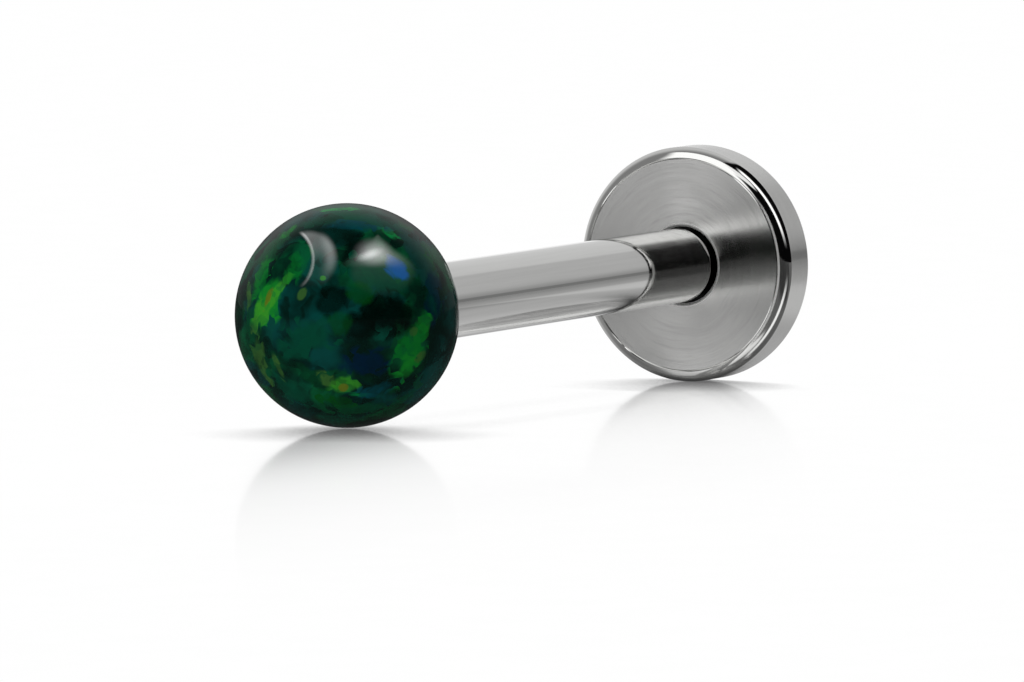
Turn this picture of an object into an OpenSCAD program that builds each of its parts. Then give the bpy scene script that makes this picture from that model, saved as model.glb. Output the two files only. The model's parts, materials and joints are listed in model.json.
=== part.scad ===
// Labret stud: a steel post with a flat disc at one end and an opal ball at the other.
// It lies on a level surface, as it comes to rest by itself, on the ball and on the disc's shoulder.
// +Z is up and the ball points along -X. The origin is on the surface, below the middle of the stud.
// Every piece is turned about the post's axis. Heights along that axis are counted from the
// disc's face, which lies against the skin, and are positive towards the ball.

/* [Post] */
// Diameter of the post, 16 gauge
post_d = 1.2; // [1.1:0.05:1.6]
// Wearable length, from the disc's face to the ball
wear_length = 9.5; // [6:0.5:16]
// Rounding of the post's two end edges
post_edge_r = 0.04; // [0.02:0.01:0.06]
// Width of the open ring between the disc's face and the post's shoulder
shoulder_gap = 0.15; // [0.1:0.01:0.3]
// Diameter of the tenon at the post's foot
tenon_d = 0.84; // [0.6:0.02:0.88]

/* [Disc back] */
// Diameter of the disc
disc_d = 3.8; // [3.5:0.1:6]
// Thickness of the disc
disc_t = 0.8; // [0.7:0.05:1.2]
// Radius of the polished shoulder round the disc's face
disc_shoulder_r = 0.165; // [0.1:0.005:0.25]
// Rounding of the disc's back edge
disc_back_r = 0.08; // [0.04:0.01:0.12]
// Radial width of the open ring between the post and the mouth of the disc's hole
mouth_gap = 0.035; // [0.02:0.005:0.06]
// Width and depth of the chamfered lip of that mouth
lip_chamfer = 0.04; // [0.02:0.005:0.06]
// Depth of the wide mouth of the disc's hole
mouth_depth = 0.35; // [0.2:0.01:0.4]
// Depth of the whole hole in the disc
hole_depth = 0.62; // [0.5:0.01:0.65]

/* [Ball] */
// Diameter of the opal ball
ball_d = 3.45; // [3:0.05:5]
// Radius of the small flat on the ball that meets the post
flat_r = 0.62; // [0.6:0.01:0.8]

/* [Threaded pin] */
// Diameter over the pin's thread, which is drawn plain
pin_d = 0.84; // [0.6:0.02:0.88]
// Length of the pin inside the post
pin_in_post = 2.2; // [1.5:0.1:3]
// Length of the pin inside the ball
pin_in_ball = 1.9; // [1.2:0.1:2]
// Chamfer at the pin's two ends
pin_chamfer = 0.08; // [0.04:0.01:0.12]

/* [Fits] */
// Radial clearance of the pin in the post's threaded bore
thread_clearance = 0.025; // [0.015:0.005:0.04]
// Thickness of the glue between the pin and the ball
glue_gap = 0.02; // [0.01:0.005:0.04]
// Gap between the post's end and the ball's flat
seat_gap = 0.02; // [0.01:0.005:0.05]
// Radial gap between the tenon and its hole
tenon_gap = 0.01; // [0.005:0.005:0.02]
// Room left past the end of the pin or the tenon in a blind hole
end_room = 0.05; // [0.02:0.01:0.1]

/* [Smoothness] */
// Number of segments in a full turn
turn_segments = 96; // [48:12:180]

/* [Hidden] */
$fn = turn_segments;
steel = [0.72, 0.72, 0.73];
opal = [0.03, 0.3, 0.14];

post_r = post_d / 2;
tenon_r = tenon_d / 2;
disc_r = disc_d / 2;
ball_r = ball_d / 2;
pin_r = pin_d / 2;

// The disc's hole
mouth_r = post_r + mouth_gap;
tenon_hole_r = tenon_r + tenon_gap;

// Heights along the post's axis
post_end = wear_length - seat_gap;
tenon_end = -hole_depth + end_room;
bore_bottom = wear_length - pin_in_post - end_room;
ball_centre = wear_length + sqrt(ball_r * ball_r - flat_r * flat_r);

// A little more than any solid needs, for cutting tools that run past a surface
past = 1;

// Lean of the post's axis, downwards to the ball, when ball and disc both touch the surface.
// The disc touches on the arc of its shoulder, whose centre is lean_reach from the ball's centre
// along the axis and lean_drop below the axis.
lean_reach = ball_centre + disc_shoulder_r;
lean_drop = disc_r - disc_shoulder_r;
lean_rise = disc_shoulder_r - ball_r;
lean = asin(lean_rise / norm([lean_reach, lean_drop])) + atan2(lean_drop, lean_reach);

// Place of the middle of the disc's face
face_z = ball_r + ball_centre * sin(lean);
back_reach = (disc_t - disc_back_r) * cos(lean) + (disc_r - disc_back_r) * sin(lean) + disc_back_r;
ball_reach = ball_centre * cos(lean) + ball_r;
face_x = (ball_reach - back_reach) / 2;

// Lays a piece that stands on its axis down in its place on the surface
module laid_down() {
    translate([face_x, 0, face_z])
        rotate([0, -90 - lean, 0])
            children();
}

// Half outline of a round bar between two heights, with its edges rounded
module bar_outline(r, low, high, low_edge, high_edge) {
    translate([0, low])
        square([r - low_edge, low_edge]);
    translate([0, low + low_edge])
        square([r, high - high_edge - low - low_edge]);
    translate([0, high - high_edge])
        square([r - high_edge, high_edge]);
    translate([r - low_edge, low + low_edge])
        circle(low_edge);
    translate([r - high_edge, high - high_edge])
        circle(high_edge);
}

// Half outline of the hole that the post's foot goes into
module disc_hole_outline() {
    translate([0, -hole_depth])
        square([tenon_hole_r, hole_depth + past]);
    translate([0, -mouth_depth])
        square([mouth_r, mouth_depth + past]);
    polygon([
        [0, -lip_chamfer],
        [mouth_r, -lip_chamfer],
        [mouth_r + lip_chamfer + past, past],
        [0, past]
    ]);
}

// The flat disc, with a polished shoulder round its face and a blind hole for the post's foot
module disc_back() {
    color(steel)
        laid_down()
            rotate_extrude()
                difference() {
                    bar_outline(disc_r, -disc_t, 0, disc_back_r, disc_shoulder_r);
                    disc_hole_outline();
                }
}

// The post: a round bar on a narrower tenon, with a bore for the threaded pin in its free end
module post() {
    color(steel)
        laid_down()
            rotate_extrude()
                difference() {
                    union() {
                        bar_outline(post_r, shoulder_gap, post_end, post_edge_r, post_edge_r);
                        translate([0, tenon_end])
                            square([tenon_r, shoulder_gap - tenon_end + post_edge_r]);
                    }
                    translate([0, bore_bottom])
                        square([pin_r + thread_clearance, pin_in_post + end_room + past]);
                }
}

// The pin that is glued into the ball and screws into the post
module threaded_pin() {
    pin_foot = wear_length - pin_in_post;
    pin_head = wear_length + pin_in_ball;
    color(steel)
        laid_down()
            rotate_extrude()
                polygon([
                    [0, pin_foot],
                    [pin_r - pin_chamfer, pin_foot],
                    [pin_r, pin_foot + pin_chamfer],
                    [pin_r, pin_head - pin_chamfer],
                    [pin_r - pin_chamfer, pin_head],
                    [0, pin_head]
                ]);
}

// The opal ball, with a small flat where it meets the post and a blind hole for the pin
module opal_ball() {
    color(opal)
        laid_down()
            difference() {
                translate([0, 0, ball_centre])
                    sphere(ball_r);
                translate([0, 0, wear_length - ball_r - past])
                    cylinder(r = ball_r + past, h = ball_r + past);
                translate([0, 0, wear_length - past])
                    cylinder(r = pin_r + glue_gap, h = past + pin_in_ball + end_room);
            }
}

disc_back();
post();
threaded_pin();
opal_ball();
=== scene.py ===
"""Looks and stage for a labret stud: steel post, turned disc back and screw-on opal ball.

Laid out as an add-on and run as a script. Every piece is turned about the post's axis, so each
one is a Geometry Nodes lathe: an outline of named sizes, carried round the axis.
"""

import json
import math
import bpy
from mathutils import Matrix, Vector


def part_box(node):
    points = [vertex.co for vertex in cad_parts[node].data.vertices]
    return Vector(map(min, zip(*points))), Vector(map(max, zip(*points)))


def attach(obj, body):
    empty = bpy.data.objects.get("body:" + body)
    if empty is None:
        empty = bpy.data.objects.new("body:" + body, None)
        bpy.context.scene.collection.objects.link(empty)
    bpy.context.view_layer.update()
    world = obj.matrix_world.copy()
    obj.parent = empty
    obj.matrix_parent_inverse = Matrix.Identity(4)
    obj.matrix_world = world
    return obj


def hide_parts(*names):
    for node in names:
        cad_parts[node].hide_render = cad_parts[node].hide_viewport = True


bl_info = {
    "name": "Labret Stud",
    "version": (1, 0, 0),
    "blender": (4, 5, 0),
    "location": "View3D > Sidebar > Labret Stud",
    "description": "Builds the looks, the studio and the camera of a labret stud",
    "category": "Object",
}

import bpy
from mathutils import Euler, Vector

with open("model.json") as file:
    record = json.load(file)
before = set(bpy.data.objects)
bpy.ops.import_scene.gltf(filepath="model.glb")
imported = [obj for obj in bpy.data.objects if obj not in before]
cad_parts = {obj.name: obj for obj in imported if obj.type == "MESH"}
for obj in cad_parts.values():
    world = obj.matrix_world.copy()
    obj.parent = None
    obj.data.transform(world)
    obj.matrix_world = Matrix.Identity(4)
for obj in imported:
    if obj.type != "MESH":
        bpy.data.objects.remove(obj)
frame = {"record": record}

MM = 0.001
FULL_TURN = 2 * math.pi
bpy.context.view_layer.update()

# Places and radii that the CAD frame gives
MOUNTS = {mount["name"]: mount for mount in frame["record"]["mounts"]}
AXIS = Vector(MOUNTS["post"]["axis"]).normalized()
DISC_REAR = Vector(MOUNTS["disc_rear"]["pos_m"])
DISC_FACE = Vector(MOUNTS["disc_face"]["pos_m"])
DISC_THICKNESS = (DISC_FACE - DISC_REAR).dot(AXIS)
FOOT = DISC_REAR + AXIS * DISC_THICKNESS
LEAN = math.atan2(-AXIS.z, -AXIS.x)
LIE = Euler((0, -math.pi / 2 - LEAN, 0))
POST_RADIUS = MOUNTS["post"]["dims"]["r_mm"] * MM
DISC_LOW, DISC_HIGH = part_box("disc_back")
DISC_RADIUS = (DISC_HIGH.y - DISC_LOW.y) / 2
BALL_LOW, BALL_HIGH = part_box("opal_ball")
BALL_RADIUS = (BALL_HIGH.y - BALL_LOW.y) / 2
BALL_CENTRE = Vector((BALL_LOW.x + BALL_RADIUS, 0, BALL_LOW.z + BALL_RADIUS))
BALL_HEIGHT = (BALL_CENTRE - FOOT).dot(AXIS)

# The camera: the direction it looks in, and the point in the middle of its picture
LOOK_AZIMUTH = math.radians(61.678)
LOOK_DOWN = math.radians(3.913)
CAMERA_DISTANCE = 0.17946
CAMERA_LENS = 401.7
CAMERA_SENSOR = 36.0
CAMERA_TARGET = Vector((0.000205, 0, 0.001014))
LOOK = Vector((
    math.sin(LOOK_AZIMUTH) * math.cos(LOOK_DOWN),
    math.cos(LOOK_AZIMUTH) * math.cos(LOOK_DOWN),
    -math.sin(LOOK_DOWN),
))
TO_RIGHT = LOOK.cross(Vector((0, 0, 1))).normalized()
TO_TOP = TO_RIGHT.cross(LOOK)
TO_CAMERA = -LOOK


# Sizes and colours


def length(label, note, millimetres):
    """A length, given here in millimetres"""
    return bpy.props.FloatProperty(
        name=label, description=note, default=millimetres * MM, unit="LENGTH", precision=6)


def slope(label, note, degrees):
    """An angle, given here in degrees"""
    return bpy.props.FloatProperty(
        name=label, description=note, default=math.radians(degrees), subtype="ANGLE")


def amount(label, note, default, least):
    return bpy.props.IntProperty(name=label, description=note, default=default, min=least)


def share(label, note, default):
    return bpy.props.FloatProperty(
        name=label, description=note, default=default, min=0, max=1, subtype="FACTOR")


def colour(label, note, default):
    return bpy.props.FloatVectorProperty(
        name=label, description=note, default=default, size=3, min=0, max=1, subtype="COLOR")


class LabretSizes(bpy.types.PropertyGroup):
    """Sizes of the turned pieces that the CAD boxes and mounts don't give"""

    turn_segments: amount("Turn segments", "Faces round each turned piece", 160, 24)
    arc_steps: amount("Arc steps", "Steps in each rounded edge", 14, 3)
    ball_steps: amount("Ball steps", "Rings on the ball", 96, 16)
    shoulder_width: length("Disc shoulder", "Width of the round shoulder at the edge of the face", 0.165)
    shoulder_start: slope("Shoulder start", "Slope of the shoulder where it leaves the face", 13)
    shoulder_end: slope("Shoulder end", "Slope of the shoulder where it meets the side wall", 74)
    support: length("Support", "Distance of the rings that keep flats flat beside rounded edges", 0.010)
    back_radius: length("Disc back edge", "Rounding of the disc's back edge", 0.08)
    groove_width: length("Face groove width", "Width of the groove between face and shoulder", 0.030)
    groove_depth: length("Face groove depth", "Depth of that groove", 0.014)
    mouth_radius: length("Hole mouth radius", "Radius of the wide mouth of the disc's hole", 0.62)
    mouth_depth: length("Hole mouth depth", "Depth of that mouth", 0.35)
    lip_chamfer: length("Mouth lip", "Width of the chamfered lip of the mouth", 0.035)
    tenon_radius: length("Tenon radius", "Radius of the tenon at the post's foot", 0.42)
    tenon_gap: length("Tenon gap", "Gap between the tenon and its hole", 0.01)
    tenon_depth: length("Tenon depth", "How far the tenon goes into the disc", 0.57)
    end_room: length("End room", "Room past the end of the tenon and of the pin", 0.05)
    shoulder_gap: length("Shoulder gap", "Open ring between the disc's face and the post", 0.13)
    wear_length: length("Wearable length", "From the disc's face to the ball", 9.5)
    seat_gap: length("Seat gap", "Gap between the post's end and the ball's flat", 0.02)
    post_edge: length("Post edge", "Rounding of the post's end edges", 0.04)
    pin_radius: length("Pin radius", "Radius of the hidden pin", 0.42)
    pin_chamfer: length("Pin chamfer", "Chamfer at the pin's ends", 0.08)
    pin_in_post: length("Pin in post", "Length of the pin inside the post", 2.2)
    pin_in_ball: length("Pin in ball", "Length of the pin inside the ball", 1.9)
    thread_gap: length("Thread gap", "Gap between the pin and the post's bore", 0.025)
    glue_gap: length("Glue gap", "Glue between the pin and the ball", 0.02)
    flat_radius: length("Ball flat", "Radius of the flat on the ball that meets the post", 0.62)


class SteelFinish(bpy.types.PropertyGroup):
    """Colours and polish of the steel"""

    steel_colour: colour("Steel", "Colour of the steel", (0.60, 0.60, 0.59))
    post_roughness: share("Post roughness", "Roughness of the polished post", 0.035)
    face_roughness: share("Face roughness", "Roughness of the satin face of the disc", 0.19)
    shoulder_roughness: share("Shoulder roughness", "Roughness of the polished shoulder", 0.05)
    side_roughness: share("Side roughness", "Roughness of the disc's side wall", 0.16)


class OpalLook(bpy.types.PropertyGroup):
    """Colours of the opal"""

    body_dark: colour("Opal depth", "Darkest colour of the stone", (0.002, 0.017, 0.012))
    body_green: colour("Opal green", "Quiet green patches", (0.004, 0.125, 0.045))
    body_teal: colour("Opal teal", "Quiet teal patches", (0.003, 0.075, 0.065))
    gloss: share("Opal roughness", "Roughness of the polished stone", 0.001)


# Node helpers

WHITE = (1.0, 1.0, 1.0, 1.0)
# The part of a noise pattern's range that holds nearly all of it
NOISE_SPAN = (0.3, 0.7)


class Bench:
    """Adds nodes to one tree. A value is a number, a vector or another node's socket."""

    def __init__(self, tree):
        self.tree = tree

    def put(self, socket, value):
        if isinstance(value, bpy.types.NodeSocket):
            self.tree.links.new(value, socket)
        else:
            socket.default_value = value

    def node(self, kind, sockets=None, **settings):
        made = self.tree.nodes.new(kind)
        for name, setting in settings.items():
            setattr(made, name, setting)
        for name, value in (sockets or {}).items():
            self.put(made.inputs[name], value)
        return made

    def get(self, kind, output, sockets=None, **settings):
        """Adds a node and gives one of its outputs"""
        return self.node(kind, sockets, **settings).outputs[output]

    def math(self, operation, *values):
        return self.get("ShaderNodeMath", "Value", dict(enumerate(values)), operation=operation)

    def each(self, operation, first, *others):
        """Joins any number of values, one after the other"""
        for value in others:
            first = self.math(operation, first, value)
        return first

    def plus(self, *values):
        return self.each("ADD", *values)

    def minus(self, *values):
        return self.each("SUBTRACT", *values)

    def times(self, *values):
        return self.each("MULTIPLY", *values)

    def over(self, value, divisor):
        return self.math("DIVIDE", value, divisor)

    def vector(self, operation, *values):
        output = "Value" if operation in ("DOT_PRODUCT", "LENGTH") else "Vector"
        return self.get("ShaderNodeVectorMath", output, dict(enumerate(values)), operation=operation)

    def dot(self, first, second):
        return self.vector("DOT_PRODUCT", first, second)

    def scaled(self, vector, factor):
        sockets = {"Vector": vector, "Scale": factor}
        return self.get("ShaderNodeVectorMath", "Vector", sockets, operation="SCALE")

    def xyz(self, x, y, z=0.0):
        return self.get("ShaderNodeCombineXYZ", "Vector", {"X": x, "Y": y, "Z": z})

    def split(self, vector):
        return tuple(self.node("ShaderNodeSeparateXYZ", {"Vector": vector}).outputs)

    def fade(self, value, start, end, low=0.0, high=1.0):
        """Goes smoothly from low to high while the value goes up or down from start to end"""
        return self.get("ShaderNodeMapRange", "Result", {
            "Value": value, "From Min": start, "From Max": end, "To Min": low, "To Max": high,
        }, interpolation_type="SMOOTHSTEP")

    def window(self, *fades):
        """The product of some fades, each given as a value, a start and an end"""
        return self.times(*[self.fade(*each) for each in fades])

    def blend(self, mask, first, second):
        sockets = {"Factor": mask, "A": first, "B": second}
        return self.get("ShaderNodeMix", "Result", sockets, data_type="FLOAT")

    def tint(self, mask, first, second):
        """Blends two colours, each a socket or a red, green and blue share"""
        # The colour sockets share their names with the number sockets, so they go by their place
        first, second = (
            paint if isinstance(paint, bpy.types.NodeSocket) else (*paint, 1.0) for paint in (first, second)
        )
        return self.get("ShaderNodeMix", 2, {0: mask, 6: first, 7: second}, data_type="RGBA")

    def noise(self, vector, scale, detail=2.0, roughness=0.5):
        return self.get("ShaderNodeTexNoise", "Fac", {
            "Vector": vector, "Scale": scale, "Detail": detail, "Roughness": roughness,
        })

    def white_glow(self, strength):
        return self.get("ShaderNodeEmission", "Emission", {"Color": WHITE, "Strength": strength})

    def mix_shaders(self, mask, first, second):
        return self.get("ShaderNodeMixShader", "Shader", {0: mask, 1: first, 2: second})

    def end(self, kind, surface):
        self.put(self.node(kind).inputs["Surface"], surface)


def layered(mix, base, *layers):
    """Lays each value over those before it as far as its mask says; mix is a bench's blend or tint"""
    for mask, value in layers:
        base = mix(mask, base, value)
    return base


def shaded(paint, factor):
    """A paler or darker kind of a colour"""
    return tuple(min(1.0, part * factor) for part in paint)


# The lathe


def lathe_tree(name, sizes):
    """An empty lathe tree with a named input for each size; gives the tree, its bench and inputs"""
    tree = bpy.data.node_groups.new(name, "GeometryNodeTree")
    tree.interface.new_socket("Geometry", in_out="INPUT", socket_type="NodeSocketGeometry")
    tree.interface.new_socket("Geometry", in_out="OUTPUT", socket_type="NodeSocketGeometry")
    kinds = {
        int: "NodeSocketInt", float: "NodeSocketFloat", Vector: "NodeSocketVector",
        Euler: "NodeSocketRotation", bpy.types.Material: "NodeSocketMaterial",
    }
    for label, value in sizes.items():
        tree.interface.new_socket(label, in_out="INPUT", socket_type=kinds[type(value)])
    bench = Bench(tree)
    return tree, bench, bench.node("NodeGroupInput").outputs


def by_number(bench, number, values, kind):
    """A switch that gives the value with a given number"""
    switch = bench.node("GeometryNodeIndexSwitch", data_type=kind)
    while len(switch.index_switch_items) < len(values):
        switch.index_switch_items.new()
    bench.put(switch.inputs["Index"], number)
    for place, value in enumerate(values):
        bench.put(switch.inputs[str(place)], value)
    return switch.outputs["Output"]


def open_curve(bench, point_count, places):
    """A curve with a given number of points, put in their places"""
    line = bench.get("GeometryNodeCurvePrimitiveLine", "Curve")
    points = bench.get("GeometryNodeResampleCurve", "Curve", {"Curve": line, "Count": point_count})
    return bench.get("GeometryNodeSetPosition", "Geometry", {"Geometry": points, "Position": places})


def corner_outline(bench, corners, arc_steps):
    """A curve through the given corners: radius, height and, where a corner is round, its rounding"""
    row = bench.get("GeometryNodeInputIndex", "Index")
    places = by_number(bench, row, [bench.xyz(*corner[:2]) for corner in corners], "VECTOR")
    roundings = by_number(bench, row, [(*corner, 0.0)[2] for corner in corners], "FLOAT")
    return bench.get("GeometryNodeFilletCurve", "Curve", {
        "Curve": open_curve(bench, len(corners), places), "Count": arc_steps, "Radius": roundings,
    }, mode="POLY")


def carry_round(bench, outline, given):
    """Carries an outline round the axis, lays the piece in its place and closes its seams"""
    rows = bench.get(
        "GeometryNodeAttributeDomainSize", "Point Count", {"Geometry": outline}, component="CURVE")
    columns = bench.plus(given["Turn segments"], 1)
    sheet = bench.get("GeometryNodeMeshGrid", "Mesh", {"Vertices X": columns, "Vertices Y": rows})
    # The sheet's points run up one column after the other; half a point keeps the division whole
    index = bench.get("GeometryNodeInputIndex", "Index")
    column = bench.math("FLOOR", bench.over(bench.plus(index, 0.5), rows))
    row = bench.minus(index, bench.times(column, rows))
    sample = bench.get("GeometryNodeSampleIndex", "Value", {
        "Geometry": outline, "Value": bench.get("GeometryNodeInputPosition", "Position"), "Index": row,
    }, data_type="FLOAT_VECTOR", domain="POINT")
    radius, height, _ = bench.split(sample)
    angle = bench.times(bench.over(column, given["Turn segments"]), FULL_TURN)
    turned = bench.xyz(
        bench.times(radius, bench.math("COSINE", angle)),
        bench.times(radius, bench.math("SINE", angle)), height)
    soft_edge = bench.math(
        "LESS_THAN", bench.get("GeometryNodeInputMeshEdgeAngle", "Unsigned Angle"), given["Sharp angle"])
    piece = sheet
    for kind, sockets, settings in (
        ("SetPosition", {"Position": turned}, {}),
        ("Transform", {"Translation": given["Foot"], "Rotation": given["Lie"]}, {}),
        ("MergeByDistance", {"Distance": given["Merge distance"]}, {}),
        ("SetShadeSmooth", {}, {}),
        ("SetShadeSmooth", {"Shade Smooth": soft_edge}, {"domain": "EDGE"}),
        ("RealizeInstances", {}, {}),
        ("SetMaterial", {"Material": given["Material"]}, {}),
    ):
        piece = bench.get("GeometryNode" + kind, "Geometry", {"Geometry": piece, **sockets}, **settings)
    bench.put(bench.node("NodeGroupOutput").inputs["Geometry"], piece)


def turned_piece(name, tree, values):
    """Runs a lathe tree once and gives its result as a plain mesh object at the origin"""
    blank = bpy.data.objects.new(name + "_blank", bpy.data.meshes.new(name + "_blank"))
    bpy.context.scene.collection.objects.link(blank)
    lathe = blank.modifiers.new("Lathe", "NODES")
    lathe.node_group = tree
    for item in tree.interface.items_tree:
        if item.item_type == "SOCKET" and item.in_out == "INPUT" and item.name in values:
            lathe[item.identifier] = values[item.name]
    bpy.context.view_layer.update()
    graph = bpy.context.evaluated_depsgraph_get()
    mesh = bpy.data.meshes.new_from_object(blank.evaluated_get(graph), depsgraph=graph)
    if not mesh.polygons:
        raise RuntimeError(f"the lathe made no faces for {name}")
    mesh.name = name
    blank.modifiers.remove(lathe)
    bpy.data.objects.remove(blank)
    piece = bpy.data.objects.new(name, mesh)
    bpy.context.scene.collection.objects.link(piece)
    return piece


def sized(*names):
    """Some of the user's sizes, by the labels of their inputs"""
    sizes = bpy.context.scene.labret_sizes
    return {name.replace("_", " ").capitalize(): getattr(sizes, name) for name in names}


def lathe_basics(material):
    """The inputs that every lathe tree has"""
    return {
        **sized("turn_segments"),
        "Foot": FOOT.copy(),
        "Lie": LIE.copy(),
        "Merge distance": 0.0000001,
        "Sharp angle": math.radians(28),
        "Material": material,
    }


# Steel

# Painted shade for the narrow gaps, where no light gets out again
HOLE_PAINTED_SHADE = (0.015, 0.015, 0.015)
# Lathe marks: how fast they change round the axis and across themselves, and their detail
FINE_MARKS = (1.1, 60.0, 3.0)
COARSE_MARKS = (0.8, 12.0, 2.0)
SCRATCH_MARKS = (2.4, 26.0, 3.0)
SIDE_MARKS = (1.4, 60.0, 3.0)
POST_MARKS = (0.7, 12.0, 2.0)
PIN_MARKS = (0.6, 26.0, 3.0)
# Height of the marks, in metres, and how much deeper the pits in the hole's lip are
FINE_RELIEF = 0.0000001
LIP_PIT_DEPTH = 30.0
# How pale each kind of steel is beside the plain one; the paler steel of the crescent at the post's foot
# and of the line at the face's edge is a painted highlight, and in the lip's pits it is wear
SCRATCHED = 0.88
PIN_DULL = 0.9
DULL = 0.97
POST_DULL = 0.975
BRIGHT = 1.02
WORN_AND_HIGHLIGHT = 1.6
PAINTED_HIGHLIGHT = 1.65
# The painted highlight crescent at the post's foot: how far it reaches along the post in
# millimetres, and how far round its middle is, in degrees up from the near side
CRESCENT_REACH = 0.11
CRESCENT_ANGLE = 48.0
# The middle of the painted highlight line at the edge of the disc's face, counted in the same way
HIGHLIGHT_LINE_ANGLE = -4.0


def own_place(bench):
    """A piece's own coordinates in millimetres: up and across the axis, and the height along it"""
    return bench.get("ShaderNodeMapping", "Vector", {
        "Vector": bench.get("ShaderNodeTexCoord", "Object"), "Location": FOOT, "Rotation": LIE,
        "Scale": (MM, MM, MM),
    }, vector_type="TEXTURE")


def round_axis(bench, place):
    """Distance from the axis, height along it, and the direction off the axis"""
    across_x, across_y, height = bench.split(place)
    off_axis = bench.xyz(across_x, across_y)
    return bench.vector("LENGTH", off_axis), height, bench.vector("NORMALIZE", off_axis)


def ring_marks(bench, direction, across, round_scale, across_scale, detail):
    """Lathe marks: noise that changes slowly round the axis and fast across the marks"""
    stretched = bench.xyz(0.0, 0.0, bench.times(across, across_scale))
    place = bench.vector("ADD", bench.scaled(direction, round_scale), stretched)
    return bench.noise(place, 1.0, detail, 0.6)


def part_way(bench, direction, clock_angle):
    """How far a spot's direction off the axis agrees with an angle in degrees, up from the near side"""
    turn = math.radians(clock_angle)
    return bench.dot(direction, (math.sin(turn), -math.cos(turn), 0.0))


def principled(name):
    """A new material; gives it with its bench and its one shader"""
    material = bpy.data.materials.new(name)
    material.use_nodes = True
    return material, Bench(material.node_tree), material.node_tree.nodes["Principled BSDF"]


def raise_marks(bench, shader, height, relief):
    bump = bench.get("ShaderNodeBump", "Normal", {"Height": height, "Strength": 1.0, "Distance": relief})
    bench.put(shader.inputs["Normal"], bump)


def brush_round(bench, shader, strength):
    """Spreads the gloss across lathe marks that run round the axis"""
    from_axis = bench.vector("SUBTRACT", bench.get("ShaderNodeTexCoord", "Object"), FOOT)
    tangent = bench.vector("NORMALIZE", bench.vector("CROSS_PRODUCT", AXIS, from_axis))
    shader.inputs["Anisotropic"].default_value = strength
    shader.inputs["Anisotropic Rotation"].default_value = 0.25
    bench.put(shader.inputs["Tangent"], tangent)


def satin_disc_steel():
    """Turned steel: satin face and back with round lathe marks, polished shoulder, brushed side wall"""
    finish = bpy.context.scene.steel_finish
    sizes = bpy.context.scene.labret_sizes
    steel = finish.steel_colour
    material, bench, shader = principled("satin_disc_steel")
    place = own_place(bench)
    radius, height, direction = round_axis(bench, place)
    face_edge = (DISC_RADIUS - sizes.shoulder_width - sizes.groove_width) / MM
    side_top = -sizes.shoulder_width / MM
    mouth = sizes.mouth_radius / MM
    lip_edge = (sizes.mouth_radius + sizes.lip_chamfer) / MM
    back = -DISC_THICKNESS / MM

    # Where each finish, the painted highlight and the painted shade lie, by radius and height
    on_front = bench.fade(height, -0.03, -0.004)
    on_back = bench.fade(height, back + 0.03, back + 0.004)
    off_back = bench.minus(1.0, on_back)
    turned_face = bench.times(on_front, bench.window(
        (radius, face_edge + 0.004, face_edge - 0.004), (radius, lip_edge - 0.002, lip_edge + 0.002)))
    face = bench.math("MAXIMUM", turned_face, on_back)
    side = bench.times(off_back, bench.fade(height, side_top + 0.01, side_top - 0.03))
    lip = bench.window((radius, lip_edge + 0.026, lip_edge + 0.014), (height, -0.042, -0.034))
    # The mouth of the hole, below its lip, gets painted shade
    in_hole = bench.times(off_back, bench.window(
        (radius, mouth + 0.004, mouth - 0.002), (height, -0.036, -0.06)))
    # A painted highlight: a paler, less metallic line along one part of the face's edge
    painted_highlight_line = bench.times(on_front, bench.window(
        (radius, face_edge + 0.012, face_edge + 0.018), (radius, face_edge + 0.062, face_edge + 0.052),
        (part_way(bench, direction, HIGHLIGHT_LINE_ANGLE), 0.72, 0.84)))

    # Marks that run round the axis: fine across the radius, long round it
    fine_marks = ring_marks(bench, direction, radius, *FINE_MARKS)
    coarse_marks = ring_marks(bench, direction, radius, *COARSE_MARKS)
    scratches = ring_marks(bench, direction, radius, *SCRATCH_MARKS)
    side_marks = ring_marks(bench, direction, height, *SIDE_MARKS)
    blotches = bench.noise(place, 1.6)
    lip_pits = bench.noise(place, 55.0, 2.0, 0.6)
    marks = bench.blend(side, fine_marks, side_marks)

    satin = bench.plus(
        finish.face_roughness, bench.fade(coarse_marks, *NOISE_SPAN, -0.015, 0.015),
        bench.fade(blotches, *NOISE_SPAN, -0.015, 0.015))
    brushed = bench.plus(finish.side_roughness, bench.fade(side_marks, *NOISE_SPAN, -0.03, 0.03))
    bench.put(shader.inputs["Roughness"], layered(
        bench.blend, finish.shoulder_roughness, (face, satin), (side, brushed), (lip, 0.5),
        (painted_highlight_line, 0.3)))
    bench.put(shader.inputs["Metallic"], layered(bench.blend, 1.0, (lip, 0.3), (painted_highlight_line, 0.4)))

    dull = shaded(steel, DULL)
    worn_and_highlight = shaded(steel, WORN_AND_HIGHLIGHT)
    scratched = bench.times(
        bench.fade(scratches, 0.5, 0.68), bench.fade(blotches, 0.35, 0.65, 0.2, 1.0), face)
    pitted = bench.tint(bench.fade(lip_pits, 0.4, 0.62), dull, worn_and_highlight)
    bench.put(shader.inputs["Base Color"], layered(
        bench.tint, bench.tint(bench.fade(marks, *NOISE_SPAN), dull, shaded(steel, BRIGHT)),
        (scratched, shaded(steel, SCRATCHED)), (painted_highlight_line, worn_and_highlight), (lip, pitted), (in_hole, HOLE_PAINTED_SHADE)))

    turned_marks = bench.times(marks, bench.math("MAXIMUM", face, side))
    pits = bench.times(lip_pits, LIP_PIT_DEPTH, lip)
    raise_marks(bench, shader, bench.plus(turned_marks, pits), FINE_RELIEF)
    brush_round(bench, shader, 0.95)
    return material


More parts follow.
